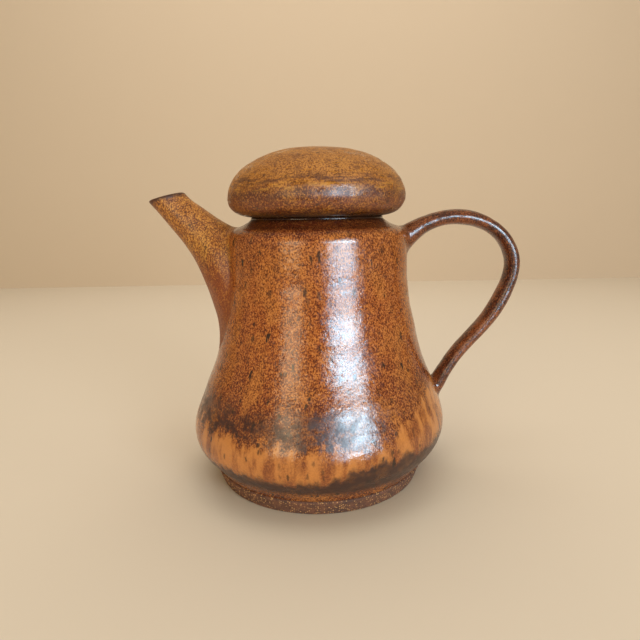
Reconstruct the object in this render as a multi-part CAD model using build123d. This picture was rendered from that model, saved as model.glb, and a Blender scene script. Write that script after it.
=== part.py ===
from build123d import *
import math
import os

# Stoneware teapot with a steel infuser basket. Millimetres, +Z up. The origin is the centre of the
# foot's resting face. The spout points to -X and the handle to +X.

# ---- foot and pot body ----
FOOT_HEIGHT = 8.7  # the glaze stops here
FOOT_REST_R = 59.6  # outer radius of the resting face
FOOT_TOP_R = 62.1
FOOT_INNER_R = 49.0
FOOT_RECESS = 5.0  # depth of the hollow under the foot
FOOT_RECESS_STEP = 2.0  # how far the hollow's side leans inwards
WALL = 5.5  # thrown wall
FLOOR_TOP = 13.0  # inside floor of the pot

# Outer wall from the glaze line to the shoulder, as (radius, height)
POT_WALL = [
    (61.3, FOOT_HEIGHT),
    (65.3, 14),
    (70.1, 20),
    (73.6, 28),
    (73.9, 35),
    (70.9, 45),
    (65.8, 58),
    (60.2, 72),
    (56.2, 88),
    (52.8, 104),
    (51.3, 120),
    (51.1, 137),
]
SHOULDER_R, SHOULDER_Z = 45.0, 145.0  # where the shoulder turns up into the neck

# Inside the pot: the floor's rounded edge and the roof under the shoulder, as (radius, height)
FLOOR_CORNER = (59.0, 15.0)
FLOOR_EDGE = (52.0, FLOOR_TOP)
ROOF_FOOT_Z = 131.0
ROOF_MIDDLE = (43.2, 136.2)
ROOF_TOP = (36.5, 138.5)

# ---- neck and the seat inside it ----
NECK_R = 37.3
NECK_INNER_R = 33.5
NECK_TOP = 150.4
NECK_STRAIGHT = 1.0  # plain edge at the top of the neck
SEAT_Z = 141.0  # the basket's rim rests here
MOUTH_R = 29.0  # clear hole through the seat
SEAT_UNDERSIDE = 136.5

# ---- lid ----
# Outer shell from the neck's top to the crown, as (radius, height)
LID_SHELL = [
    (36.6, NECK_TOP),
    (42.2, 151.6),
    (46.3, 153.6),
    (49.1, 157.0),
    (49.9, 161.0),
    (49.0, 166.0),
    (45.8, 172.0),
    (40.7, 177.2),
    (33.4, 181.7),
    (24.3, 185.2),
    (13.0, 187.0),
    (0, 187.4),
]
LID_CEILING = 181.8
LID_PLATE_TOP = 155.4
FLANGE_R = 32.7
FLANGE_INNER_R = 28.6
FLANGE_BOTTOM = 143.4
VENT_R = 1.6
VENT_PLACE = (18, 26)  # at the back, where steam and air pass

# Hollow inside the lid, from the flange's bore up to the middle of its ceiling
LID_HOLLOW = [
    (FLANGE_INNER_R, LID_PLATE_TOP),
    (36.0, 155.8),
    (42.0, 158.2),
    (44.3, 162.4),
    (42.2, 168.6),
    (35.0, 175.2),
    (24.0, 179.6),
    (12.0, 181.5),
    (0, LID_CEILING),
]

# ---- spout: stations from the mouth down to the wall, as lower point, upper point and half width ----
SPOUT_STATIONS = [
    ((-94.8, 160.4), (-75.1, 165.3), 8.9),
    ((-88.7, 152.9), (-70.4, 160.5), 9.4),
    ((-83.1, 145.8), (-64.6, 156.4), 10.3),
    ((-76.4, 137.0), (-57.7, 151.2), 12.2),
    ((-69.7, 126.0), (-51.3, 147.2), 15.5),
    ((-63.4, 110.0), (-44.4, 143.6), 19.5),
    ((-56.0, 82.0), (-34.0, 138.0), 21.5),
]
SPOUT_WALL = 3.2
BORE_EXTENSION = 6.0  # how far the bore runs on beyond the mouth
STRAINER_R = 2.2
STRAINER_ROWS = [(100, 1), (107, 2), (114, 3), (121, 2), (128, 1)]  # (height, holes in the row)
STRAINER_PITCH = 8.0
STRAINER_X = -50.0  # within the wall
STRAINER_DRILL = 24.0

# ---- handle: stations along its centre line, as x, z, thickness and width ----
HANDLE_STATIONS = [
    (42.0, 132.4, 20.0, 20.0),
    (51.0, 138.6, 13.4, 17.0),
    (59.4, 144.2, 10.2, 15.2),
    (72.9, 148.6, 9.0, 14.8),
    (86.7, 148.3, 8.8, 14.6),
    (99.1, 143.4, 8.2, 14.4),
    (108.3, 134.4, 8.2, 14.2),
    (112.5, 121.5, 8.4, 14.0),
    (108.9, 106.0, 8.8, 13.8),
    (100.9, 91.4, 8.8, 13.6),
    (90.9, 79.4, 8.4, 13.4),
    (81.3, 68.0, 8.2, 13.4),
    (73.9, 56.5, 8.6, 14.0),
    (69.6, 49.0, 9.6, 14.8),
    (62.0, 41.5, 11.0, 16.0),
]

# ---- infuser basket ----
RIM_THICKNESS = 1.0
RIM_R = 32.6
RIM_BEAD_R = 0.8
BASKET_INNER_R = 27.0
SHEET = 0.6
BASKET_BOTTOM = 66.0
PERFORATION_R = 1.2
PERFORATION_ROWS = 9
PERFORATION_LINES = 11  # drilled right across, so each line makes two columns of holes
PERFORATIONS_ABOVE_BAND = 4.0
PERFORATIONS_BELOW_LUGS = 2.0
WALL_PANEL_EDGES = [0, 2.5, 5.5, 8.5]  # between which lines the sheet is parted, on each half of the basket
BASE_CIRCLES = 3
BASE_CIRCLE_PITCH = 7.0
BASE_CIRCLE_HOLES = 6  # in the first circle, and so many more in each one further out
BASE_THICKNESS = 1.2
BAND_HEIGHT = 6.0
BAND_THICKNESS = 0.5
SEAM_WIDTH = 7.0
SEAM_CORNER_R = 0.5
LUG_WIDTH = 8.0
LUG_BOTTOM = 131.0
LUG_TOP = 148.0
LUG_THICKNESS = 1.0
LUG_CORNER_R = 3.6
LUG_DRILL = 6.0

# ---- bail ----
PIVOT_Z = 144.4
BAIL_WIRE_R = 1.25
BAIL_REACH = 22.5  # radius of the bow
BAIL_BEND = 2.0
PIN_CLEARANCE = 0.08  # radial, in the lugs
PIN_TIP = 27.3
PIN_HEAD_R = 1.8
PIN_HEAD_LENGTH = 0.6


def turned(outline):
    """A solid turned about the Z axis from an outline in the XZ plane."""
    return revolve(make_face(Plane.XZ * outline), Axis.Z)


def polygon(*points):
    return Polyline(*points, close=True)


def ring(inner_r, outer_r, bottom, top):
    return turned(polygon((inner_r, bottom), (outer_r, bottom), (outer_r, top), (inner_r, top)))


def outer_wall():
    """The pot's outer outline from the glaze line up to the neck's top edge."""
    wall = Spline(*POT_WALL)
    shoulder = TangentArc(POT_WALL[-1], (SHOULDER_R, SHOULDER_Z), tangent=wall % 1)
    neck_foot = (NECK_R, NECK_TOP - NECK_STRAIGHT)
    neck_root = TangentArc((SHOULDER_R, SHOULDER_Z), neck_foot, tangent=shoulder % 1)
    return Curve() + [wall, shoulder, neck_root, Line(neck_foot, (NECK_R, NECK_TOP))]


def pot_outside():
    """The whole volume within the pot's outer surface, which trims what is luted on to it."""
    closing = Polyline((NECK_R, NECK_TOP), (0, NECK_TOP), (0, FOOT_HEIGHT), POT_WALL[0])
    return turned(outer_wall() + closing)


def inner_wall():
    """The pot's inner outline from the underside of the seat down to the floor's centre."""
    inside = [(r - WALL, z) for r, z in reversed(POT_WALL[2:-1])]
    roof_foot = (POT_WALL[-1][0] - WALL, ROOF_FOOT_Z)
    roof = ThreePointArc(ROOF_TOP, ROOF_MIDDLE, roof_foot)
    wall = Spline(roof_foot, *inside, FLOOR_CORNER, FLOOR_EDGE)
    return [roof, wall, Line(FLOOR_EDGE, (0, FLOOR_TOP))]


def strainer_holes():
    holes = []
    for height, count in STRAINER_ROWS:
        for i in range(count):
            y = (i - (count - 1) / 2) * STRAINER_PITCH
            place = Pos(STRAINER_X, y, height) * Rot(0, 90, 0)
            holes.append(place * Cylinder(STRAINER_R, STRAINER_DRILL))
    return holes


def make_pot():
    """The thrown pot in three parts: its floor, its wall and its shoulder, from where the roof starts."""
    seat = Polyline(
        (NECK_R, NECK_TOP),
        (NECK_INNER_R, NECK_TOP),
        (NECK_INNER_R, SEAT_Z),
        (MOUTH_R, SEAT_Z),
        (MOUTH_R, SEAT_UNDERSIDE),
        ROOF_TOP,
    )
    floor = Polyline((0, FLOOR_TOP), (0, FOOT_HEIGHT), POT_WALL[0])
    pot = turned(outer_wall() + [seat, *inner_wall(), floor]) - strainer_holes()
    floor_plane, shoulder_plane = Plane.XY.offset(FLOOR_TOP), Plane.XY.offset(ROOF_FOOT_Z)
    wall = split(split(pot, floor_plane, Keep.TOP), shoulder_plane, Keep.BOTTOM)
    return split(pot, floor_plane, Keep.BOTTOM), wall, split(pot, shoulder_plane, Keep.TOP)


def make_foot_ring():
    edge = 1.0
    return turned(
        polygon(
            (0, FOOT_RECESS),
            (FOOT_INNER_R - FOOT_RECESS_STEP, FOOT_RECESS),
            (FOOT_INNER_R, edge),
            (FOOT_INNER_R + edge, 0),
            (FOOT_REST_R - edge, 0),
            (FOOT_REST_R, edge),
            (FOOT_TOP_R, FOOT_HEIGHT - edge),
            (FOOT_TOP_R - edge / 2, FOOT_HEIGHT),
            (0, FOOT_HEIGHT),
        )
    )


def spout_section(lower, upper, half_width, inset):
    """An ellipse across the spout, through a lower and an upper point of its outline."""
    along = Vector(upper[0] - lower[0], 0, upper[1] - lower[1])
    centre = Vector((upper[0] + lower[0]) / 2, 0, (upper[1] + lower[1]) / 2)
    plane = Plane(origin=centre, x_dir=along, z_dir=along.cross(Vector(0, 1, 0)))
    return plane * Ellipse(along.length / 2 - inset, half_width - inset)


def make_spout(trim):
    outer = loft([spout_section(*station, 0) for station in SPOUT_STATIONS])
    (low_x, low_z), (high_x, high_z), half_width = SPOUT_STATIONS[0]
    out, up = -BORE_EXTENSION, BORE_EXTENSION
    beyond = ((low_x + out, low_z + up), (high_x + out, high_z + up), half_width)
    bore = loft([spout_section(*station, SPOUT_WALL) for station in [beyond, *SPOUT_STATIONS]])
    return outer - bore - trim


def make_handle(trim):
    path = Spline(*[(x, 0, z) for x, z, thickness, width in HANDLE_STATIONS])
    sections = []
    for x, z, thickness, width in HANDLE_STATIONS:
        station = Vector(x, 0, z)
        plane = Plane(origin=station, x_dir=(0, 1, 0), z_dir=path % path.param_at_point(station))
        sections.append(plane * Ellipse(width / 2, thickness / 2))
    return loft(sections) - trim


def make_lid_cap():
    shell = Spline(*LID_SHELL)
    hollow = Spline(*LID_HOLLOW)
    inner_corner = (FLANGE_INNER_R, NECK_TOP)
    bore = Line(inner_corner, LID_HOLLOW[0])
    underside = Line(inner_corner, LID_SHELL[0])
    axis = Line(LID_SHELL[-1], LID_HOLLOW[-1])
    cap = turned(Curve() + [underside, shell, axis, hollow, bore])
    crown_height = LID_SHELL[-1][1] - LID_PLATE_TOP
    return cap - Pos(*VENT_PLACE, LID_CEILING) * Cylinder(VENT_R, crown_height)


def make_lid_flange():
    edge = 0.8
    return turned(
        polygon(
            (FLANGE_INNER_R, FLANGE_BOTTOM + edge),
            (FLANGE_INNER_R + edge, FLANGE_BOTTOM),
            (FLANGE_R - edge, FLANGE_BOTTOM),
            (FLANGE_R, FLANGE_BOTTOM + edge),
            (FLANGE_R, NECK_TOP),
            (FLANGE_INNER_R, NECK_TOP),
        )
    )


def make_infuser_rim():
    plate = ring(BASKET_INNER_R, RIM_R - RIM_BEAD_R, SEAT_Z, SEAT_Z + RIM_THICKNESS)
    bead_centre = (RIM_R - RIM_BEAD_R, SEAT_Z + RIM_BEAD_R)
    bead = revolve(Plane.XZ * Pos(*bead_centre) * Circle(RIM_BEAD_R), Axis.Z)
    return plate + bead


def make_infuser_wall():
    """The perforated sheet, plain where the lugs and the seam are, as panels that meet between holes."""
    wall = ring(BASKET_INNER_R, BASKET_INNER_R + SHEET, BASKET_BOTTOM, SEAT_Z)
    lowest = BASKET_BOTTOM + BAND_HEIGHT + PERFORATIONS_ABOVE_BAND
    highest = LUG_BOTTOM - PERFORATIONS_BELOW_LUGS
    pitch = (highest - lowest) / (PERFORATION_ROWS - 1)
    drill = Rot(0, 90, 0) * Cylinder(PERFORATION_R, 2 * RIM_R)
    drills = []
    for row in range(PERFORATION_ROWS):
        for line in range(1, PERFORATION_LINES):
            angle = 90 + 180 * line / PERFORATION_LINES
            drills.append(Pos(0, 0, lowest + row * pitch) * Rot(0, 0, angle) * drill)
    sheet = wall - drills
    edges = [90 + 180 * line / PERFORATION_LINES for line in WALL_PANEL_EDGES]
    edges += [edge + 180 for edge in edges]
    panels = []
    for start, end in zip(edges, edges[1:] + [edges[0] + 360]):
        reach = 2 * BASKET_INNER_R
        sector = CenterArc((0, 0), reach, start, end - start)
        outline = Curve() + [Line((0, 0), sector @ 0), sector, Line(sector @ 1, (0, 0))]
        panels.append(sheet & Pos(0, 0, BASKET_BOTTOM) * extrude(make_face(outline), SEAT_Z))
    return panels


def make_infuser_base():
    middle = Pos(0, 0, BASKET_BOTTOM + BASE_THICKNESS / 2)
    drill = middle * Cylinder(PERFORATION_R, 2 * BASE_THICKNESS)
    drills = [drill]
    for circle in range(1, BASE_CIRCLES + 1):
        for place in PolarLocations(circle * BASE_CIRCLE_PITCH, circle * BASE_CIRCLE_HOLES):
            drills.append(place * drill)
    return middle * Cylinder(BASKET_INNER_R, BASE_THICKNESS) - drills


def make_infuser_base_band():
    outer = BASKET_INNER_R + SHEET
    return ring(outer, outer + BAND_THICKNESS, BASKET_BOTTOM, BASKET_BOTTOM + BAND_HEIGHT)


def shell_strip(inner_r, outer_r, bottom, top, width, corner_r, side):
    """A strip with rounded corners cut from a cylinder's shell, at the front (side -1) or back (1)."""
    outline = Rot(90, 0, 0) * RectangleRounded(width, top - bottom, corner_r)
    cutter = Pos(0, side * outer_r, (bottom + top) / 2) * extrude(outline, outer_r / 2, both=True)
    return ring(inner_r, outer_r, bottom, top) & cutter


def make_infuser_seam():
    outer = BASKET_INNER_R + SHEET
    bottom = BASKET_BOTTOM + BAND_HEIGHT
    return shell_strip(outer, outer + SHEET, bottom, SEAT_Z, SEAM_WIDTH, SEAM_CORNER_R, 1)


def make_lug(side):
    inner = BASKET_INNER_R - LUG_THICKNESS
    strip = shell_strip(inner, BASKET_INNER_R, LUG_BOTTOM, LUG_TOP, LUG_WIDTH, LUG_CORNER_R, side)
    hole = Pos(0, side * BASKET_INNER_R, PIVOT_Z) * Rot(90, 0, 0)
    return strip - hole * Cylinder(BAIL_WIRE_R + PIN_CLEARANCE, LUG_DRILL)


def make_bail():
    """Wire bow lying flat towards +X, with both ends turned out through the lugs and headed."""
    turn = BAIL_REACH + BAIL_BEND
    inset = BAIL_BEND * (1 - math.sqrt(0.5))
    corner = BAIL_REACH + inset
    pieces = [
        Line((0, PIN_TIP), (0, turn)),
        ThreePointArc((0, turn), (inset, corner), (BAIL_BEND, BAIL_REACH)),
        ThreePointArc((BAIL_BEND, BAIL_REACH), (turn, 0), (BAIL_BEND, -BAIL_REACH)),
        ThreePointArc((BAIL_BEND, -BAIL_REACH), (inset, -corner), (0, -turn)),
        Line((0, -turn), (0, -PIN_TIP)),
    ]
    path = Pos(0, 0, PIVOT_Z) * Wire(pieces)
    section = Plane(origin=(0, PIN_TIP, PIVOT_Z), z_dir=(0, -1, 0)) * Circle(BAIL_WIRE_R)
    bow = sweep(section, path=path)
    heads = []
    for side in (-1, 1):
        place = Pos(0, side * (PIN_TIP + PIN_HEAD_LENGTH / 2), PIVOT_Z) * Rot(90, 0, 0)
        heads.append(place * Cylinder(PIN_HEAD_R, PIN_HEAD_LENGTH))
    return bow + heads


def main():
    os.makedirs("parts", exist_ok=True)
    trim = pot_outside()
    pot_floor, pot_wall, pot_shoulder = make_pot()
    nodes = {
        "pot_floor": pot_floor,
        "pot_wall": pot_wall,
        "pot_shoulder": pot_shoulder,
        "foot_ring": make_foot_ring(),
        "spout": make_spout(trim),
        "handle": make_handle(trim),
        "lid_cap": make_lid_cap(),
        "lid_flange": make_lid_flange(),
        "infuser_rim": make_infuser_rim(),
        "infuser_base": make_infuser_base(),
        "infuser_base_band": make_infuser_base_band(),
        "infuser_seam": make_infuser_seam(),
        "bail_lug_front": make_lug(-1),
        "bail_lug_back": make_lug(1),
        "bail": make_bail(),
    }
    for number, panel in enumerate(make_infuser_wall(), 1):
        nodes[f"infuser_wall_{number}"] = panel
    for name, shape in nodes.items():
        export_step(shape, f"parts/{name}.step")
        print(f"{name}: {shape.volume:.0f} mm3")


main()
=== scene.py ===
import math

import bmesh
import bpy
import numpy as np
from mathutils import Matrix, Vector, noise


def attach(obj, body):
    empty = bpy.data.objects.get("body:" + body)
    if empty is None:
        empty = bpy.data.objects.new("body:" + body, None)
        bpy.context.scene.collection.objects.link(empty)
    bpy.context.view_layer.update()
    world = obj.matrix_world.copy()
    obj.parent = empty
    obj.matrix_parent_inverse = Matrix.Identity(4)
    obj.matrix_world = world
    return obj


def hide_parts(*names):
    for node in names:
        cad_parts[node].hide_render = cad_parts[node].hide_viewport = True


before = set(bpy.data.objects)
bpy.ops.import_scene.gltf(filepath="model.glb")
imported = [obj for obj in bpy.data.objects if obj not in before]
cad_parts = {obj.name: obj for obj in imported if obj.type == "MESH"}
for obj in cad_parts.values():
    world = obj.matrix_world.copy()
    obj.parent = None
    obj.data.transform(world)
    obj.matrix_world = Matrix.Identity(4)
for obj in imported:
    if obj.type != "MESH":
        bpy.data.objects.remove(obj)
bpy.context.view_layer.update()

# Shapes are worked out in millimetres, in the frame's own axes, and turned into metres when a mesh is made.
MM = 0.001
TURN = 2 * math.pi
CLEAR = 0.08  # how far a luted-on piece's edge lies under the glaze it runs out on


# ---------------------------------------------------------------- outlines


def even(curve, count):
    """A polyline's points, spaced evenly along it."""
    steps = np.linalg.norm(np.diff(curve, axis=0), axis=1)
    length = np.concatenate([[0], np.cumsum(steps)])
    at = np.linspace(0, length[-1], count)
    return np.stack([np.interp(at, length, column) for column in curve.T], axis=1)


def spline(points, count):
    """Points spaced evenly along a natural cubic spline through the given ones."""
    points = np.array(points, float)
    n = len(points)
    gaps = np.linalg.norm(np.diff(points, axis=0), axis=1)
    knots = np.concatenate([[0], np.cumsum(gaps)])
    slopes = np.diff(points, axis=0) / gaps[:, None]
    matrix, right = np.eye(n), np.zeros_like(points)
    for i in range(1, n - 1):
        matrix[i, i - 1 : i + 2] = gaps[i - 1], 2 * (gaps[i - 1] + gaps[i]), gaps[i]
        right[i] = 6 * (slopes[i] - slopes[i - 1])
    bend = np.linalg.solve(matrix, right)
    fine = np.linspace(0, knots[-1], 60 * n)
    k = np.clip(np.searchsorted(knots, fine) - 1, 0, n - 2)
    gap = gaps[k][:, None]
    a = (knots[k + 1] - fine)[:, None] / gap
    b = 1 - a
    curve = a * points[k] + b * points[k + 1]
    curve += ((a**3 - a) * bend[k] + (b**3 - b) * bend[k + 1]) * gap**2 / 6
    return even(curve, count)


def tangent_arc(start, end, heading, count):
    """Points on the arc that leaves start along heading and ends at end, and its heading there."""
    chord = end - start
    side = np.array([-heading[1], heading[0]])
    radius = chord @ chord / (2 * chord @ side)
    centre = start + radius * side
    sweep = 2 * math.atan2(heading[0] * chord[1] - heading[1] * chord[0], heading @ chord)
    points = []
    for angle in np.linspace(0, sweep, count):
        c, s = math.cos(angle), math.sin(angle)
        points.append(centre + np.array([[c, -s], [s, c]]) @ (start - centre))
    c, s = math.cos(sweep), math.sin(sweep)
    return np.array(points), np.array([[c, -s], [s, c]]) @ heading


def smooth(value, low, high):
    t = np.clip((value - low) / (high - low), 0, 1)
    return t * t * (3 - 2 * t)


FOOT_TOP = 8.7
POT_WALL = [
    (61.3, FOOT_TOP),
    (65.3, 14),
    (70.1, 20),
    (73.6, 28),
    (73.9, 35),
    (70.9, 45),
    (65.8, 58),
    (60.2, 72),
    (56.2, 88),
    (52.8, 104),
    (51.3, 120),
    (51.1, 137),
]
WALL = 5.5
SHOULDER = np.array([45.0, 145.0])
NECK_R, NECK_TOP, NECK_INNER_R = 37.3, 150.4, 33.5
SEAT_Z, MOUTH_R, SEAT_UNDERSIDE = 141.0, 29.0, 136.5
FLOOR_TOP, ROOF_FOOT_Z = 13.0, 131.0
STRAINER_R, STRAINER_PITCH, STRAINER_X, STRAINER_DRILL = 2.2, 8.0, -50, 24
STRAINER_ROWS = [(100, 1), (107, 2), (114, 3), (121, 2), (128, 1)]  # (height, holes in the row)


def pot_outer_outline():
    wall = spline(POT_WALL, 190)
    heading = (wall[-1] - wall[-2]) / np.linalg.norm(wall[-1] - wall[-2])
    shoulder, heading = tangent_arc(wall[-1], SHOULDER, heading, 16)
    neck_root, heading = tangent_arc(SHOULDER, np.array([NECK_R, NECK_TOP - 1.2]), heading, 10)
    rounding = [(0.1, 0.5), (0.4, 0.12), (0.8, 0)]  # inwards and down from the neck's top edge
    lip = [(NECK_R - inwards, NECK_TOP - down) for inwards, down in rounding]
    return np.concatenate([wall, shoulder[1:], neck_root[1:], lip])


OUTER = pot_outer_outline()


# ---------------------------------------------------------------- the pot's surface


def ring_waves():
    """The throwing rings, as (height of one ring, depth, phase) of the waves that make them up."""
    random = np.random.default_rng(7)
    periods = [3.3, 4.1, 5.2, 7.4, 11.0, 17.0]
    depths = [0.004, 0.005, 0.006, 0.010, 0.022, 0.050]
    return list(zip(periods, depths, random.uniform(0, TURN, len(periods))))


RING_WAVES = ring_waves()
RING_CLIMB = 4.4  # the rings are one spiral, which rises this much in a turn
GROOVES = [(117, 5.0), (99, 3.5)]  # (height, half width)
GROOVE_DEPTH = 0.07
TRIMMING_PITCH, TRIMMING_DEPTH = 1.5, 0.04  # the tool's marks above the foot
RELIEF_INSET = 0.25  # keeps what stands out within the outline
OUT_OF_ROUND = [(2, 0.12, 0.8), (3, 0.08, 2.1)]  # (lobes, depth, phase)
LEAN = 1.3  # how far the belly sits towards the spout


def relief(theta, z):
    """How far the thrown wall stands out from its outline, in millimetres."""
    climbed = z + RING_CLIMB * (theta / TURN)
    out = np.zeros_like(z)
    for period, depth, phase in RING_WAVES:
        out += depth * np.sin(TURN * climbed / period + phase)
    for height, half_width in GROOVES:
        out -= GROOVE_DEPTH * np.exp(-(((climbed - height) / half_width) ** 2))
    trimmed = smooth(z, 11, 14) * (1 - smooth(z, 19, 24))
    out += TRIMMING_DEPTH * trimmed * np.sin(TURN * climbed / TRIMMING_PITCH)
    for lobes, depth, phase in OUT_OF_ROUND:
        out += depth * np.sin(lobes * theta + phase)
    fade = smooth(z, FOOT_TOP, FOOT_TOP + 3) * (1 - smooth(z, 138, 145))
    return (out - RELIEF_INSET) * fade


def body_radius(theta, z):
    return np.interp(z, OUTER[:, 1], OUTER[:, 0]) + relief(theta, z)


def lean(points):
    """The belly and foot sit a little towards the spout, as the wheel left them."""
    moved = points.copy()
    moved[..., 0] -= LEAN * (1 - smooth(points[..., 2], 18, 50))
    return moved


def on_body(points):
    """The points moved onto the glaze straight in or out, just under it."""
    theta = np.arctan2(points[..., 1], points[..., 0])
    z = points[..., 2]
    r = body_radius(theta, z) - CLEAR
    return np.stack([r * np.cos(theta), r * np.sin(theta), z], axis=-1)


def depth_in_body(points):
    theta = np.arctan2(points[..., 1], points[..., 0])
    return body_radius(theta, points[..., 2]) - np.hypot(points[..., 0], points[..., 1])


# ---------------------------------------------------------------- meshes


def grain(points, size, depth, seed):
    """Clay grain at each point: fine bumps of this size and depth."""
    shift = Vector((seed, 2.3 * seed, 3.1 * seed))
    found = [noise.noise(Vector(p) / size + shift) for p in points.reshape(-1, 3)]
    return depth * np.array(found).reshape(points.shape[:-1])


def skin(name, rows, loop=False, cap=False):
    """A mesh over rows of points, each row a ring.

    loop joins the last row to the first, and cap closes both ends.
    """
    count, around = rows.shape[:2]
    points = rows.reshape(-1, 3)
    faces = []
    for i in range(count if loop else count - 1):
        this, following = i * around, (i + 1) % count * around
        for j in range(around):
            k = (j + 1) % around
            faces.append((this + j, this + k, following + k, following + j))
    if cap:
        ends = [rows[0].mean(0), rows[-1].mean(0)]
        first = len(points)
        points = np.concatenate([points, ends])
        last_row = (count - 1) * around
        for j in range(around):
            k = (j + 1) % around
            faces.append((k, j, first))
            faces.append((last_row + j, last_row + k, first + 1))
    mesh = bpy.data.meshes.new(name)
    mesh.from_pydata((points * MM).tolist(), [], faces)
    mesh.validate()
    piece = bpy.data.objects.new(name, mesh)
    bpy.context.scene.collection.objects.link(piece)
    weld(mesh)
    return piece


def weld(mesh):
    """Joins points that lie on each other, as at a pole, and turns every face outwards."""
    work = bmesh.new()
    work.from_mesh(mesh)
    bmesh.ops.remove_doubles(work, verts=work.verts, dist=0.002 * MM)
    bmesh.ops.recalc_face_normals(work, faces=work.faces)
    work.to_mesh(mesh)
    work.free()


def lathe(outline, around):
    """Rows of points from an outline of (radius, height)."""
    theta = np.linspace(0, TURN, around, endpoint=False)
    r, z = outline[:, 0][:, None], outline[:, 1][:, None]
    return np.stack([r * np.cos(theta), r * np.sin(theta), z + 0 * theta], axis=-1)


def push(rows, outline, amount):
    """The rows moved along the outline's own normal."""
    along = np.gradient(outline, axis=0)
    along /= np.maximum(np.linalg.norm(along, axis=1), 1e-9)[:, None]
    theta = np.arctan2(rows[..., 1], rows[..., 0])
    out_r, out_z = along[:, 1][:, None], -along[:, 0][:, None]
    step = np.stack([out_r * np.cos(theta), out_r * np.sin(theta), out_z + 0 * theta], axis=-1)
    return rows + step * amount[..., None]


DRILL_SIDES = 24


def drill(piece, radius, centres, direction, length):
    """Cuts round holes through a piece, all in one direction."""
    turn = Vector((0, 0, 1)).rotation_difference(Vector(direction)).to_matrix()
    for centre in centres:
        rows = []
        for end in (-0.5, 0.5):
            ring = []
            for angle in np.linspace(0, TURN, DRILL_SIDES, endpoint=False):
                x, y = radius * math.cos(angle), radius * math.sin(angle)
                ring.append(np.array(turn @ Vector((x, y, end * length))) + np.array(centre))
            rows.append(ring)
        bit = skin("bit", np.array(rows), cap=True)
        cut = piece.modifiers.new("hole", "BOOLEAN")
        cut.object, cut.operation, cut.solver = bit, "DIFFERENCE", "EXACT"
        with bpy.context.temp_override(object=piece, active_object=piece):
            bpy.ops.object.modifier_apply(modifier=cut.name)
        bpy.data.objects.remove(bit)


def dress(piece, body, material, nodes, sharp=40):
    """Puts a finished piece on its CAD body with its finish, in place of the CAD nodes."""
    piece.data.materials.clear()
    piece.data.materials.append(material)
    piece.data.shade_smooth()
    piece.data.set_sharp_from_angle(angle=math.radians(sharp))
    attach(piece, body)
    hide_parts(*nodes)


# ---------------------------------------------------------------- pieces


POT_AROUND, FOOT_AROUND, LID_AROUND, FLANGE_AROUND = 300, 330, 260, 220  # points in a ring
SPOUT_AROUND, HANDLE_AROUND = 112, 64


def pot_skin():
    """The thrown pot: outside, neck, seat, roof, inner wall and floor in one closed skin."""
    roof = [(36.5, 138.5), (40.0, 137.4), (43.2, 135.7), (45.0, 133.6)]
    inner_wall = [(r - WALL, z) for r, z in reversed(POT_WALL[2:-1])]
    roof_foot = (POT_WALL[-1][0] - WALL, ROOF_FOOT_Z)
    inside = spline([roof_foot, *inner_wall, (59.0, 15.0), (52, FLOOR_TOP)], 52)
    seat = [
        (NECK_INNER_R + 0.8, NECK_TOP),
        (NECK_INNER_R + 0.25, NECK_TOP - 0.25),
        (NECK_INNER_R, NECK_TOP - 0.8),
        (NECK_INNER_R, 146),
        (NECK_INNER_R, SEAT_Z + 0.4),
        (NECK_INNER_R - 0.4, SEAT_Z),
        (MOUTH_R + 0.6, SEAT_Z),
        (MOUTH_R, SEAT_Z - 0.6),
        (MOUTH_R, SEAT_UNDERSIDE + 0.5),
        (MOUTH_R + 0.5, SEAT_UNDERSIDE),
    ]
    floor = [(38, FLOOR_TOP + 0.2), (20, FLOOR_TOP), (0, FLOOR_TOP)]
    under = [(0, FOOT_TOP), (30, FOOT_TOP), (60.4, FOOT_TOP)]
    outline = np.concatenate([under, OUTER, seat, roof, inside, floor])
    rows = lathe(outline, POT_AROUND)
    theta = np.arctan2(rows[..., 1], rows[..., 0])
    outer = slice(len(under), len(under) + len(OUTER))
    stand_out = relief(theta[outer], rows[outer][..., 2])
    rows[outer] = push(rows[outer], OUTER, stand_out)
    piece = skin("pot_skin", lean(rows))
    holes = []
    for height, count in STRAINER_ROWS:
        for i in range(count):
            holes.append((STRAINER_X, (i - (count - 1) / 2) * STRAINER_PITCH, height))
    drill(piece, STRAINER_R, holes, (1, 0, 0), STRAINER_DRILL)
    return piece


def foot_skin():
    """The trimmed foot, left unglazed."""
    rest = [(0, 5.0), (25, 5.0), (45.5, 5.0), (47, 4.8), (48.6, 1.4), (49.2, 0.5), (50, 0.05), (50.6, 0)]
    side = [(58.2, 0), (58.9, 0.12), (59.45, 0.6), (59.7, 1.2), (61.2, 5.4), (61.9, 7.2), (62.0, 7.9)]
    top = [(61.75, 8.45), (61.2, 8.7), (59.5, 8.75), (0, 8.75)]
    outline = even(np.array(rest + side + top, float), 150)
    rows = lathe(outline, FOOT_AROUND)
    rough = grain(rows, 0.9, 0.22, 3.0) + grain(rows, 2.4, 0.22, 8.0) - 0.15
    rough *= smooth(rows[..., 2], 0.0, 1.5) * smooth(np.hypot(rows[..., 0], rows[..., 1]), 40, 46)
    rows = push(rows, outline, rough)
    return skin("foot_clay", lean(rows))


LID_SHELL = [
    (36.6, 150.4),
    (42.2, 151.6),
    (46.3, 153.6),
    (49.1, 157),
    (49.9, 161),
    (49.0, 166),
    (45.8, 172),
    (40.7, 177.2),
    (33.4, 181.7),
    (24.3, 185.2),
    (13.0, 187),
    (0, 187.4),
]
LID_HOLLOW = [
    (28.6, 155.4),
    (36, 155.8),
    (42, 158.2),
    (44.3, 162.4),
    (42.2, 168.6),
    (35, 175.2),
    (24, 179.6),
    (12, 181.5),
    (0, 181.8),
]
LID_CLIMB = 2.6  # the lid's rings rise this much in a turn
LID_INSET = 0.32
VENT_R, VENT_PLACE, VENT_DRILL = 1.6, (18, 26, 183), 16


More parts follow.
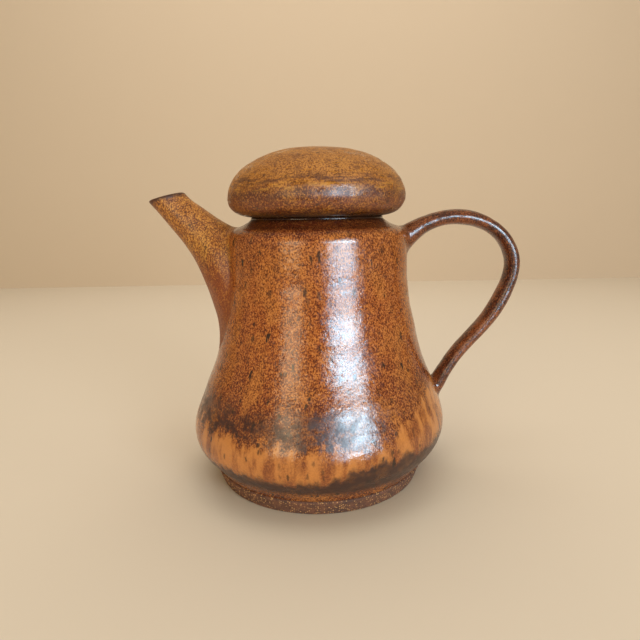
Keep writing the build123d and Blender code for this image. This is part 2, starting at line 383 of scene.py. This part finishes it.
def lid_skin():
    """The thrown lid: a hollow dome, not quite even all round."""
    shell = spline(LID_SHELL, 110)
    hollow = spline(LID_HOLLOW, 44)[::-1]
    underside = [(28.6, 151), (29.0, 150.5), (30, NECK_TOP), (35.4, NECK_TOP)]
    outline = np.concatenate([hollow, underside, shell])
    rows = lathe(outline, LID_AROUND)
    theta = np.arctan2(rows[..., 1], rows[..., 0])
    outer = slice(len(hollow) + len(underside), None)
    height = rows[outer][..., 2]
    climbed = height + LID_CLIMB * (theta[outer] / TURN)
    out = 0.02 * np.sin(TURN * climbed / 3.1) + 0.04 * np.sin(TURN * climbed / 5.3 + 1)
    out += 0.3 * np.sin(theta[outer] + 2.6) * smooth(height, 156, 162)
    out += 0.16 * np.sin(2 * theta[outer] + 0.4) + grain(rows[outer], 9.0, 0.22, 5.0)
    from_axis = np.hypot(rows[outer][..., 0], rows[outer][..., 1])
    out *= smooth(height, NECK_TOP, 154) * smooth(from_axis, 0, 14)
    rows[outer] = push(rows[outer], shell, out - LID_INSET * smooth(height, NECK_TOP, 156))
    piece = skin("lid_skin", rows)
    drill(piece, VENT_R, [VENT_PLACE], (0, 0, 1), VENT_DRILL)
    return piece


FLANGE = [
    (28.6, 151.2),
    (28.6, 147.5),
    (28.6, 144.4),
    (28.9, 143.8),
    (29.5, 143.45),
    (31.6, 143.45),
    (32.3, 143.8),
    (32.6, 144.4),
    (32.65, 147.5),
    (32.7, 151.2),
]


def flange_skin():
    """The lid's unglazed flange, which drops inside the neck."""
    outline = even(np.array(FLANGE), 60)
    rows = lathe(outline, FLANGE_AROUND)
    rough = grain(rows, 1.2, 0.1, 4.0) - 0.04
    return skin("lid_flange_clay", push(rows, outline, rough), loop=True)


SPOUT_STATIONS = [
    ((-94.8, 160.4), (-75.1, 165.3), 8.9),
    ((-88.7, 152.9), (-70.4, 160.5), 9.4),
    ((-83.1, 145.8), (-64.6, 156.4), 10.3),
    ((-76.4, 137.0), (-57.7, 151.2), 12.2),
    ((-69.7, 126.0), (-51.3, 147.2), 15.5),
    ((-63.4, 110.0), (-44.4, 143.6), 19.5),
    ((-56.0, 82.0), (-34.0, 138.0), 21.5),
]
SPOUT_WALL = 3.2
LIP_STEPS = 6  # the lip is rounded over this many of the spout's first steps
LIMB_STEPS = 400
ACROSS = np.array([0.0, 1.0, 0.0])


def sink_to(curve, depth):
    """Where a curve first lies this deep in the pot, as an index into it."""
    deep = depth_in_body(curve) > depth
    return int(np.argmax(deep)) if deep.any() else len(curve) - 1


def run_out(curve, centres, gap, reach, steps):
    """The curve stopped short of the pot by gap, and led onto its surface up to reach away."""
    hit = sink_to(curve, 0)
    back = np.cumsum(np.linalg.norm(np.diff(curve[hit::-1], axis=0), axis=1))
    start = hit - 1 - int(np.searchsorted(back, gap))
    crossing = curve[hit]
    heading = curve[start] - curve[start - 1]
    heading /= np.linalg.norm(heading)
    theta, z = math.atan2(crossing[1], crossing[0]), crossing[2]
    below, above = np.interp((z - 1, z + 1), OUTER[:, 1], OUTER[:, 0])
    normal = np.array([math.cos(theta), math.sin(theta), -(above - below) / 2])
    normal /= np.linalg.norm(normal)
    away = crossing - centres[hit]
    away -= (away @ normal) * normal
    away /= np.linalg.norm(away)
    landing = on_body(crossing + reach * away)
    beyond = on_body(crossing + (reach + 0.6) * away)
    outward = (beyond - landing) / np.linalg.norm(beyond - landing)
    first = curve[start]
    controls = [
        first,
        first + heading * 0.6 * np.linalg.norm(crossing - first),
        landing - outward * 0.6 * np.linalg.norm(landing - crossing),
        landing,
    ]
    t = np.linspace(0, 1, steps)[1:, None]
    weights = [(1 - t) ** 3, 3 * t * (1 - t) ** 2, 3 * t**2 * (1 - t), t**3]
    sweep = sum(w * c for w, c in zip(weights, controls))
    return curve[: start + 1], sweep


def swell(rows, amount):
    """The rows with each point moved away from the middle of its ring."""
    outward = rows - rows.mean(axis=1, keepdims=True)
    outward /= np.linalg.norm(outward, axis=-1, keepdims=True)
    return rows + outward * amount[..., None]


def spout_skin():
    """The spout: outside with its root run out on the pot, rounded lip and bore."""
    flat = [(*lower, *upper, half) for lower, upper, half in SPOUT_STATIONS]
    stations = spline(flat, LIMB_STEPS)
    lower = np.stack([stations[:, 0], 0 * stations[:, 0], stations[:, 1]], axis=1)
    upper = np.stack([stations[:, 2], 0 * stations[:, 0], stations[:, 3]], axis=1)
    half = stations[:, 4]
    centres = (lower + upper) / 2
    reach_up = np.linalg.norm(upper - lower, axis=1) / 2
    up = (upper - lower) / (2 * reach_up[:, None])
    columns = []
    for angle in np.linspace(0, TURN, SPOUT_AROUND, endpoint=False):
        c, s = math.cos(angle), math.sin(angle)

        def generator(inset):
            tall = (reach_up - inset)[:, None]
            return centres + c * tall * up + s * (half - inset)[:, None] * ACROSS

        outside, bore = generator(0), generator(SPOUT_WALL)
        low_side = smooth(-c, -0.2, 1.0)
        gap, reach = 3.2 + 9.0 * low_side, 2.8 + 10.0 * low_side
        wall, sweep = run_out(outside, centres, gap, reach, steps=16)
        wall = even(wall[LIP_STEPS:], 92)
        lip = []
        for t in np.linspace(0, math.pi, 9)[1:-1]:
            inset = SPOUT_WALL * (1 - math.cos(t)) / 2
            ring = generator(inset)
            place = LIP_STEPS * (1 - math.sin(t))
            k = int(place)
            lip.append(ring[k] + (place - k) * (ring[k + 1] - ring[k]))
        bore = even(bore[LIP_STEPS : sink_to(bore, 1.2) + 1], 40)
        columns.append(np.concatenate([sweep[::-1], wall[::-1], lip, bore]))
    rows = np.array(columns).transpose(1, 0, 2)
    shake = grain(rows, 14.0, 0.3, 6.0) * smooth(depth_in_body(rows), -2, -14)
    return skin("spout_skin", swell(rows, shake), loop=True)


HANDLE_STATIONS = [
    (42.0, 132.4, 20.0, 20.0),
    (51.0, 138.6, 13.4, 17.0),
    (59.4, 144.2, 10.2, 15.2),
    (72.9, 148.6, 9.0, 14.8),
    (86.7, 148.3, 8.8, 14.6),
    (99.1, 143.4, 8.2, 14.4),
    (108.3, 134.4, 8.2, 14.2),
    (112.5, 121.5, 8.4, 14.0),
    (108.9, 106.0, 8.8, 13.8),
    (100.9, 91.4, 8.8, 13.6),
    (90.9, 79.4, 8.4, 13.4),
    (81.3, 68.0, 8.2, 13.4),
    (73.9, 56.5, 8.6, 14.0),
    (69.6, 49.0, 9.6, 14.8),
    (62.0, 41.5, 11.0, 16.0),
]
HANDLE_INSET = 0.2  # keeps what stands out within the stations' size


def handle_skin():
    """The pulled strap handle, with both roots run out on the pot."""
    stations = spline(HANDLE_STATIONS, 2 * LIMB_STEPS)
    centres = np.stack([stations[:, 0], 0 * stations[:, 0], stations[:, 1]], axis=1)
    along = np.gradient(centres, axis=0)
    along /= np.linalg.norm(along, axis=1)[:, None]
    outer = np.stack([-along[:, 2], 0 * along[:, 0], along[:, 0]], axis=1)
    thick, wide = stations[:, 2] / 2, stations[:, 3] / 2
    # both halves run from the middle down to a root
    upper, lower = slice(LIMB_STEPS, None, -1), slice(LIMB_STEPS, None)
    columns = []
    for angle in np.linspace(0, TURN, HANDLE_AROUND, endpoint=False):
        c, s = math.cos(angle), math.sin(angle)
        # a pulled strap is a little flatter on its faces than an ellipse, with a soft ridge down each edge
        c, s = math.copysign(abs(c) ** 0.92, c), math.copysign(abs(s) ** 1.04, s)
        line = centres + (c * thick)[:, None] * outer + (s * wide)[:, None] * ACROSS
        reach = 2.6 + 2 * smooth(-c, 0, 1)
        top_strap, top_sweep = run_out(line[upper], centres[upper], 3.2, reach, steps=12)
        low_strap, low_sweep = run_out(line[lower], centres[lower], 3.0, 2.4, steps=12)
        strap = even(np.concatenate([top_strap[::-1], low_strap[1:]]), 230)
        columns.append(np.concatenate([top_sweep[::-1], strap, low_sweep]))
    rows = np.array(columns).transpose(1, 0, 2)
    shake = grain(rows, 16.0, 0.35, 9.0) + grain(rows, 5.0, 0.12, 2.0)
    shake *= smooth(depth_in_body(rows), -2, -10)
    return skin("handle_skin", swell(rows, shake - HANDLE_INSET), cap=True)


# ---------------------------------------------------------------- finishes


def paint(red, green, blue):
    """A screen colour as the linear one that shaders take."""
    linear = []
    for part in (red, green, blue):
        c = part / 255
        linear.append(c / 12.92 if c <= 0.04045 else ((c + 0.055) / 1.055) ** 2.4)
    return (*linear, 1.0)


class Finish:
    """A material being built from nodes, placed by the object's own coordinates in millimetres."""

    def __init__(self, name):
        self.material = bpy.data.materials.new(name)
        self.material.use_nodes = True
        self.tree = self.material.node_tree
        self.shader = self.tree.nodes["Principled BSDF"]
        place = self.add("ShaderNodeTexCoord").outputs["Object"]
        scaled = self.add("ShaderNodeVectorMath", {"Vector": place, "Scale": 1 / MM}, operation="SCALE")
        self.place = scaled.outputs[0]
        split = self.add("ShaderNodeSeparateXYZ", {"Vector": self.place})
        self.x, self.y, self.z = split.outputs

    def add(self, kind, inputs=(), **settings):
        node = self.tree.nodes.new(kind)
        for key, value in settings.items():
            setattr(node, key, value)
        for key, value in dict(inputs).items():
            self.feed(node.inputs[key], value)
        return node

    def feed(self, socket, value):
        if isinstance(value, bpy.types.NodeSocket):
            self.tree.links.new(value, socket)
        else:
            socket.default_value = value

    def set(self, **inputs):
        for key, value in inputs.items():
            self.feed(self.shader.inputs[key.replace("_", " ")], value)

    def math(self, operation, a, b=0.0, c=0.0):
        return self.add("ShaderNodeMath", {0: a, 1: b, 2: c}, operation=operation).outputs[0]

    def stretched(self, size, stretch, seed):
        """Coordinates for a pattern of this size, drawn out along the axes and shifted by the seed."""
        scale = tuple(1 / (size * s) for s in stretch)
        inputs = {0: self.place, 1: scale, 2: (seed, 1.7 * seed, -2.9 * seed)}
        return self.add("ShaderNodeVectorMath", inputs, operation="MULTIPLY_ADD").outputs[0]

    def noise(self, size, seed=0.0, stretch=(1, 1, 1), detail=2.0, roughness=0.55):
        """Soft patches of about this size in millimetres, from 0 to 1."""
        place = self.stretched(size, stretch, seed)
        inputs = {"Vector": place, "Scale": 1.0, "Detail": detail, "Roughness": roughness}
        return self.add("ShaderNodeTexNoise", inputs).outputs[0]

    def band(self, value, low, high, start=0.0, end=1.0):
        """start below low, end above high, and a smooth step between."""
        inputs = {"Value": value, "From Min": low, "From Max": high, "To Min": start, "To Max": end}
        return self.add("ShaderNodeMapRange", inputs, interpolation_type="SMOOTHSTEP").outputs[0]

    def ramp(self, value, stops, low, high):
        """Colours at given values, blended between."""
        spread = self.add("ShaderNodeMapRange", {"Value": value, "From Min": low, "From Max": high})
        node = self.add("ShaderNodeValToRGB", {"Fac": spread.outputs[0]})
        elements = node.color_ramp.elements
        while len(elements) < len(stops):
            elements.new(1.0)
        for element, (at, colour) in zip(elements, sorted(stops)):
            element.position = (at - low) / (high - low)
            element.color = colour
        return node.outputs[0]

    def mix(self, a, b, factor):
        """Colour a, turning into colour b as the factor goes from 0 to 1."""
        return self.add("ShaderNodeMix", {0: factor, 6: a, 7: b}, data_type="RGBA").outputs[2]

    def product(self, a, b):
        return self.math("MULTIPLY", a, b)

    def total(self, first, *others):
        for other in others:
            first = self.math("ADD", first, other)
        return first

    def between(self, value, low, high):
        """1 from low[1] to high[0], and a smooth fall to 0 at low[0] and high[1]."""
        return self.product(self.band(value, *low), self.band(value, *high, 1.0, 0.0))

    def flecks(self, size, seed, share, stretch=(1, 1, 1), blur=0.14, radius=0.36):
        """Separate spots: one in some of the cells of this size, with a ragged edge."""
        place = self.stretched(size, stretch, seed)
        ragged = self.add("ShaderNodeTexNoise", {"Vector": place, "Scale": 3.5, "Detail": 3.0})
        half = (0.5, 0.5, 0.5)
        inputs = {0: ragged.outputs[1], 1: half}
        shift = self.add("ShaderNodeVectorMath", inputs, operation="SUBTRACT").outputs[0]
        inputs = {0: shift, 1: half, 2: place}
        moved = self.add("ShaderNodeVectorMath", inputs, operation="MULTIPLY_ADD")
        cells = self.add("ShaderNodeTexVoronoi", {"Vector": moved.outputs[0], "Scale": 1.0})
        chance = self.add("ShaderNodeSeparateColor", {"Color": cells.outputs["Color"]})
        spot = self.band(cells.outputs["Distance"], radius - blur, radius + blur, 1.0, 0.0)
        kept = self.band(chance.outputs[0], share - 0.02, share + 0.02, 1.0, 0.0)
        strength = self.band(chance.outputs[1], 0.0, 1.0, 0.45, 1.0)
        return self.product(self.product(spot, kept), strength)

    def bump(self, heights):
        """A normal from (height, depth in millimetres) pairs, one on the other."""
        normal = None
        for height, depth in heights:
            inputs = {"Height": height, "Distance": depth * MM, "Strength": 1.0}
            if normal:
                inputs["Normal"] = normal
            normal = self.add("ShaderNodeBump", inputs).outputs[0]
        self.set(Normal=normal)


GLAZE_IOR = 1.52


def glaze_surface(finish, roughness, pebble=0.045):
    """What every glazed piece shares: satin gloss that varies, a pebbled skin and pinholes."""
    fine = finish.noise(0.7, 4.0, detail=3)
    soft = finish.noise(3.2, 5.0, detail=2)
    patch = finish.noise(14, 6.0, detail=2)
    pits = finish.flecks(1.5, 11.0, 0.16, radius=0.22, blur=0.12)
    soft_dull = finish.band(soft, 0.35, 0.7, -0.03, 0.06)
    patchy_dull = finish.band(patch, 0.35, 0.7, -0.04, 0.06)
    finish.set(Roughness=finish.total(soft_dull, patchy_dull, roughness))
    finish.set(Specular_IOR_Level=0.5, IOR=GLAZE_IOR)
    finish.bump([(soft, 0.16), (fine, pebble), (finish.product(pits, -1.0), 0.05)])


CLUMPING, DRIFTING = 0.18, 0.10  # how much of the speckle's tone its clumps and drifts make up


def speckle(finish, ground, dark, light, ochre, strength=1.0, seed=0.0):
    """Iron speckle through a glaze: dark and golden grain in clumps, over drifts of ochre."""
    grains = finish.noise(0.76, 1.0 + seed, stretch=(1, 1, 1.3), detail=3, roughness=0.7)
    clumps = finish.noise(3.6, 31.0 + seed, stretch=(1, 1, 1.3), detail=3, roughness=0.6)
    drift = finish.noise(17, 41.0 + seed, stretch=(1, 1, 1.4), detail=3)
    colour = finish.mix(ground, ochre, finish.band(drift, 0.48, 0.68, 0.0, 0.5 * strength))
    tone = finish.math("MULTIPLY_ADD", drift, DRIFTING, grains)
    tone = finish.math("MULTIPLY_ADD", clumps, CLUMPING, tone)
    middle = 0.5 * (1 + CLUMPING + DRIFTING)  # about half of the surface is darker than this
    darkened = finish.band(tone, middle + 0.02, middle - 0.09, 0.0, 0.9 * strength)
    lightened = finish.band(tone, middle, middle + 0.12, 0.0, 0.85 * strength)
    return finish.mix(finish.mix(colour, dark, darkened), light, lightened)


DARK_NET = paint(76, 29, 11)
IRON_BLACK = paint(40, 27, 18)

# The glazes' ground colours as (height in millimetres, colour); some stops also hold painted shade and
# painted sheen, as marked
BODY_BANDS = [
    (10, paint(112, 58, 36)),
    (20, paint(128, 70, 40)),
    (30, paint(158, 92, 46)),
    (39, paint(146, 82, 38)),
    (58, paint(133, 66, 33)),
    (70, paint(153, 80, 33)),
    (90, paint(161, 84, 31)),
    (112, paint(159, 82, 30)),
    (136, paint(162, 92, 40)),
    (142, paint(150, 80, 37)),
    # these last two stops darken the neck: partly its own reddish brown, partly painted shade under the
    # lid's overhang
    (145.5, paint(98, 46, 26)),
    (148, paint(70, 32, 19)),
]
LID_BANDS = [
    # the two lowest stops, near black at the lid's underside edge, are painted shade in the gap over the
    # neck
    (150.5, paint(40, 17, 9)),
    (152.5, paint(76, 34, 16)),
    (155.5, paint(130, 66, 32)),
    (159.0, paint(116, 60, 34)),
    (162.0, paint(90, 48, 34)),
    (164.4, paint(146, 88, 36)),
    (166.6, paint(180, 118, 46)),
    (168.6, paint(168, 107, 46)),
    (171.0, paint(180, 119, 50)),
    # the crown's light mustard is partly its own glaze and partly painted sheen, lightened in place of the
    # overhead lamp's glare
    (178.0, paint(166, 107, 43)),
    (187.0, paint(174, 117, 52)),
]
SPOUT_BANDS = [
    (86, paint(122, 54, 12)),
    (118, paint(134, 60, 12)),
    (140, paint(160, 94, 33)),
    (158, paint(168, 104, 40)),
    (166, paint(146, 88, 40)),
]


def body_glaze():
    """Rust brown over the waist, a dark belt, a caramel band that drips into a dark hem."""
    f = Finish("pot_glaze")
    runs = f.noise(6.5, 3.0, stretch=(1, 1, 4), detail=2)
    threads = f.noise(2.0, 10.0, stretch=(1, 1, 7), detail=2)
    drips = f.math("MULTIPLY_ADD", threads, 0.2, f.product(runs, 0.8))
    sway = f.noise(16, 8.0, detail=2)
    ragged = f.noise(2.2, 13.0, detail=3)
    shift = f.total(f.band(sway, 0.3, 0.7, -2.4, 2.4), f.band(drips, 0.35, 0.65, -3.0, 3.0))
    shift = f.total(shift, f.band(ragged, 0.3, 0.7, -1.4, 1.4))
    climb_and_painted_light = f.band(f.x, 26, 66, 0.0, -16.0)  # the bands climb towards the handle: partly the glaze's own run, partly painted light that lightens the belly on the window's side
    level = f.total(f.z, shift, climb_and_painted_light)
    ground = f.ramp(level, BODY_BANDS, 8, 152)
    colour = speckle(f, ground, DARK_NET, paint(202, 130, 62), paint(178, 114, 50))
    drip_zone = f.product(f.band(level, 42, 37), f.band(f.z, 15, 22))
    colour = f.mix(colour, ground, f.product(drip_zone, 0.5))

    blotches = f.noise(4.0, 17.0, stretch=(1.4, 1.4, 1), detail=4, roughness=0.65)
    mottle = f.band(blotches, 0.38, 0.60)
    # the belt fades towards the handle: partly the glaze's own, partly painted light on the window's side
    belt = f.product(f.between(level, (40.5, 44), (48, 63)), f.band(f.x, 6, 40, 1.0, 0.15))
    belt = f.product(belt, f.math("MULTIPLY_ADD", mottle, 0.6, 0.4))
    colour = f.mix(colour, paint(64, 33, 24), belt)

    pale = f.product(f.band(drips, 0.60, 0.40, 0.0, 0.75), drip_zone)
    colour = f.mix(colour, paint(208, 138, 70), pale)
    rusty = f.product(f.band(drips, 0.54, 0.66, 0.0, 0.5), drip_zone)
    colour = f.mix(colour, paint(120, 62, 32), rusty)

    edge = f.total(f.z, f.band(runs, 0.3, 0.7, -2.2, 2.2), f.band(f.x, -4, 28, 0.0, -8.0))
    edge = f.total(edge, f.band(ragged, 0.3, 0.7, -0.8, 0.8))
    hem = f.product(f.band(edge, 21.0, 26.0, 1.0, 0.0), f.band(f.z, 12.0, 17.5))
    hem = f.product(hem, f.math("MULTIPLY_ADD", mottle, 0.12, 0.86))
    colour = f.mix(colour, paint(54, 29, 23), hem)

    spots = f.flecks(7.5, 2.0, 0.9, stretch=(1, 1, 2.2), radius=0.15, blur=0.05)
    colour = f.mix(colour, IRON_BLACK, f.product(spots, 0.95))
    small = f.flecks(4.2, 7.0, 0.5, stretch=(1, 1, 2.1), radius=0.19, blur=0.08)
    colour = f.mix(colour, IRON_BLACK, f.product(small, 0.85))
    colour = f.mix(colour, paint(88, 38, 22), f.band(f.z, 140.5, 146, 0.0, 0.6))
    # painted shadow: the neck under the lid's rim darkens to near black
    colour = f.mix(colour, paint(20, 9, 6), f.band(f.z, 147, 149.5, 0.0, 0.85))
    f.set(Base_Color=colour)
    glaze_surface(f, f.math("MULTIPLY_ADD", f.total(belt, hem), 0.16, 0.18))
    return f.material


def lid_glaze():
    """Ochre over the crown, a brown ring with a golden line under it, and rust below."""
    f = Finish("lid_glaze")
    sway = f.noise(15, 9.0, detail=2)
    ragged = f.noise(1.8, 14.0, detail=3)
    shift = f.total(f.band(sway, 0.3, 0.7, -1.3, 1.3), f.band(ragged, 0.3, 0.7, -1.1, 1.1))
    ground = f.ramp(f.total(f.z, shift), LID_BANDS, 150, 188)
    light, ochre = paint(188, 128, 54), paint(172, 118, 48)
    colour = speckle(f, ground, paint(84, 42, 16), light, ochre, strength=0.9, seed=3.0)
    patches = f.band(f.noise(6, 19.0, detail=3), 0.56, 0.68, 0.0, 0.5)
    colour = f.mix(colour, paint(104, 60, 30), patches)

    lines = f.noise(1.5, 27.0, stretch=(7, 7, 1), detail=3)
    ring = f.between(f.z, (165.5, 167.5), (169.5, 172.5))
    streaks = f.product(ring, f.band(lines, 0.47, 0.60, 0.0, 0.7))
    colour = f.mix(colour, paint(78, 42, 26), streaks)
    gold = f.between(f.z, (162.5, 164.5), (165.5, 167.5))
    gold = f.product(gold, f.band(lines, 0.50, 0.40, 0.0, 0.6))
    colour = f.mix(colour, paint(196, 140, 54), gold)

    small = f.flecks(5.0, 12.0, 0.35, radius=0.18, blur=0.13)
    colour = f.mix(colour, paint(60, 40, 26), f.product(small, 0.75))
    f.set(Base_Color=colour)
    pools = f.noise(3.5, 25.0, stretch=(2.2, 2.2, 0.7), detail=2)
    glaze_surface(f, f.band(pools, 0.52, 0.64, 0.46, 0.24))
    return f.material


def spout_glaze():
    """Orange tan with ochre drifts, and iron showing along the lip."""
    f = Finish("spout_glaze")
    ragged = f.noise(1.8, 15.0, detail=3)
    # how far up the spout a point is, square to its mouth
    along = f.total(f.product(f.x, -0.242), f.product(f.z, 0.970))
    along = f.total(along, f.band(ragged, 0.3, 0.7, -0.5, 0.5))
    ground = f.ramp(f.z, SPOUT_BANDS, 80, 170)
    light, ochre = paint(206, 146, 62), paint(180, 132, 56)
    colour = speckle(f, ground, paint(86, 42, 15), light, ochre, seed=6.0)
    colour = f.mix(colour, paint(62, 34, 24), f.product(f.band(along, 175.6, 177.6), 0.9))
    colour = f.mix(colour, paint(84, 36, 22), f.band(f.x, -87, -93, 0.0, 0.75))
    colour = f.mix(colour, paint(140, 64, 12), f.band(f.z, 134, 112, 0.0, 0.5))
    small = f.flecks(4.4, 22.0, 0.45, stretch=(1, 1, 1.8), radius=0.16, blur=0.08)
    colour = f.mix(colour, IRON_BLACK, f.product(small, 0.7))
    f.set(Base_Color=colour)
    glaze_surface(f, 0.42)
    return f.material


def handle_glaze():
    """Purple brown where the glaze is thick, breaking to rust."""
    f = Finish("handle_glaze")
    patches = f.noise(9, 23.0, stretch=(1.6, 1, 1.6), detail=3)
    ground = f.mix(paint(78, 40, 30), paint(138, 76, 42), f.band(patches, 0.44, 0.62))
    ground = f.mix(ground, paint(138, 76, 36), f.band(f.x, 52, 66, 0.6, 0.0))
    light, ochre = paint(158, 100, 60), paint(112, 62, 36)
    colour = speckle(f, ground, paint(42, 23, 18), light, ochre, strength=0.8, seed=9.0)
    f.set(Base_Color=colour)
    glaze_surface(f, 0.23, pebble=0.06)
    return f.material


def clay(name):
    """Unglazed stoneware with pale and golden grog."""
    f = Finish(name)
    tone = f.noise(5, 2.0, detail=3)
    colour = f.mix(paint(122, 76, 46), paint(90, 55, 33), f.band(tone, 0.35, 0.65))
    grit = f.noise(0.8, 5.0, detail=3, roughness=0.7)
    colour = f.mix(colour, paint(58, 40, 28), f.band(grit, 0.54, 0.66, 0.0, 0.85))
    pale = f.flecks(1.1, 6.0, 0.6, radius=0.34, blur=0.12)
    colour = f.mix(colour, paint(226, 172, 104), f.product(pale, 0.95))
    f.set(Base_Color=colour, Roughness=f.band(grit, 0.3, 0.7, 0.72, 0.9))
    f.bump([(grit, 0.25), (pale, 0.12), (f.noise(0.35, 7.0, detail=2), 0.08)])
    return f.material


def steel(name, roughness, stretch):
    """Stainless steel with fine rolling or drawing marks along one way."""
    f = Finish(name)
    marks = f.noise(0.5, 2.0, stretch=stretch, detail=3)
    cloud = f.noise(9, 4.0, detail=3)
    colour = f.mix(paint(196, 195, 192), paint(176, 174, 170), f.band(cloud, 0.35, 0.65))
    f.set(Base_Color=colour, Metallic=1.0)
    worn = f.total(f.band(marks, 0.3, 0.7, -0.05, 0.07), f.band(cloud, 0.3, 0.7, -0.02, 0.06))
    f.set(Roughness=f.total(worn, roughness))
    f.bump([(marks, 0.012)])
    return f.material


# ---------------------------------------------------------------- the object

pot_nodes = ["pot_floor", "pot_wall", "pot_shoulder"]
dress(pot_skin(), "pot", body_glaze(), pot_nodes)
dress(foot_skin(), "pot", clay("foot_clay"), ["foot_ring"], 60)
dress(spout_skin(), "pot", spout_glaze(), ["spout"], 60)
dress(handle_skin(), "pot", handle_glaze(), ["handle"], 60)
dress(lid_skin(), "lid", lid_glaze(), ["lid_cap"])
dress(flange_skin(), "lid", clay("flange_clay"), ["lid_flange"], 60)

sheet_steel = steel("basket_sheet", 0.30, (1, 1, 14))
wire_steel = steel("bail_wire", 0.20, (8, 8, 1))
for name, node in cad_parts.items():
    if name.startswith(("infuser_", "bail")):
        node.data.materials.clear()
        node.data.materials.append(wire_steel if name == "bail" else sheet_steel)


# ---------------------------------------------------------------- stage, lights and camera


def paper(name, colour):
    f = Finish(name)
    f.set(Base_Color=colour, Roughness=0.9, Specular_IOR_Level=0.0)
    return f.material


SHEET_HALF_WIDTH = 4000.0


def sheet(name, points, colour):
    """A wide sheet of paper over points of (distance back, height)."""
    rows = [[(x, y, z) for y, z in points] for x in (-SHEET_HALF_WIDTH, SHEET_HALF_WIDTH)]
    mesh = bpy.data.meshes.new(name)
    count = len(points)
    faces = [(i, i + 1, count + i + 1, count + i) for i in range(count - 1)]
    mesh.from_pydata((np.array(rows, float).reshape(-1, 3) * MM).tolist(), [], faces)
    stand = bpy.data.objects.new(name, mesh)
    bpy.context.scene.collection.objects.link(stand)
    mesh.materials.append(paper(name, colour))
    mesh.shade_smooth()


def panel(name, place, aim, width, height, power, colour):
    """A soft light: a lit rectangle that faces aim. Sizes are in millimetres, power in watts."""
    data = bpy.data.lights.new(name, "AREA")
    data.shape, data.size, data.size_y = "RECTANGLE", width * MM, height * MM
    data.energy, data.color = power, colour
    lamp = bpy.data.objects.new(name, data)
    lamp.location = Vector(place) * MM
    lamp.rotation_euler = (Vector(aim) - Vector(place)).to_track_quat("-Z", "Y").to_euler()
    bpy.context.scene.collection.objects.link(lamp)
    return lamp


EYE = Vector((0.84, -300, 151.35))
LOOKING_DOWN, ROLL = math.radians(11.5), math.radians(-0.995)


def camera():
    """Level with the lid's foot, 0.3 m in front, looking a little down and turned a degree."""
    data = bpy.data.cameras.new("camera")
    data.lens, data.sensor_width = 29.08, 36.0
    data.clip_start = 0.01
    eye = bpy.data.objects.new("camera", data)
    level = Matrix.Rotation(TURN / 4 - LOOKING_DOWN, 4, "X")
    turn = level @ Matrix.Rotation(ROLL, 4, "Z")
    eye.matrix_world = Matrix.Translation(EYE * MM) @ turn
    bpy.context.scene.collection.objects.link(eye)
    bpy.context.scene.camera = eye


FLOOR_END = 866  # where the floor meets the backdrop, behind the pot
POT_MIDDLE = (0, 0, 80)
UPPER_GLINT, LOWER_GLINT = (495, -875, 318), (495, -875, 46)
DAYLIGHT = (0.90, 0.95, 1.0)

sheet("floor", [(-2500, 0), (500, 0), (FLOOR_END, 0)], paint(224, 212, 192))
backdrop = [(FLOOR_END, 0), (FLOOR_END + 2, 20), (FLOOR_END + 6, 300), (FLOOR_END + 14, 3000)]
sheet("backdrop", backdrop, paint(214, 196, 172))

panel("window", (840, -1252, 437), POT_MIDDLE, 630, 755, 11.2, DAYLIGHT)
glints = [
    panel("window_upper_glint", UPPER_GLINT, POT_MIDDLE, 600, 185, 8.6, (0.42, 0.76, 1.0)),
    panel("window_lower_glint", LOWER_GLINT, POT_MIDDLE, 560, 76, 4.0, (0.46, 0.76, 1.0)),
]
for glint in glints:
    glint.visible_diffuse = False
panel("warm_side", (-840, -1500, 450), POT_MIDDLE, 630, 780, 7.4, (1.0, 0.84, 0.56))
overhead = panel("overhead", (0, 220, 1100), (0, 220, 0), 1200, 1200, 7.4, (1.0, 0.97, 0.94))
overhead.visible_glossy = False

world = bpy.data.worlds.new("room")
world.use_nodes = True
background = world.node_tree.nodes["Background"].inputs
background["Color"].default_value = paint(240, 224, 198)
background["Strength"].default_value = 0.41
bpy.context.scene.world = world
bpy.context.scene.view_settings.view_transform = "Standard"
camera()
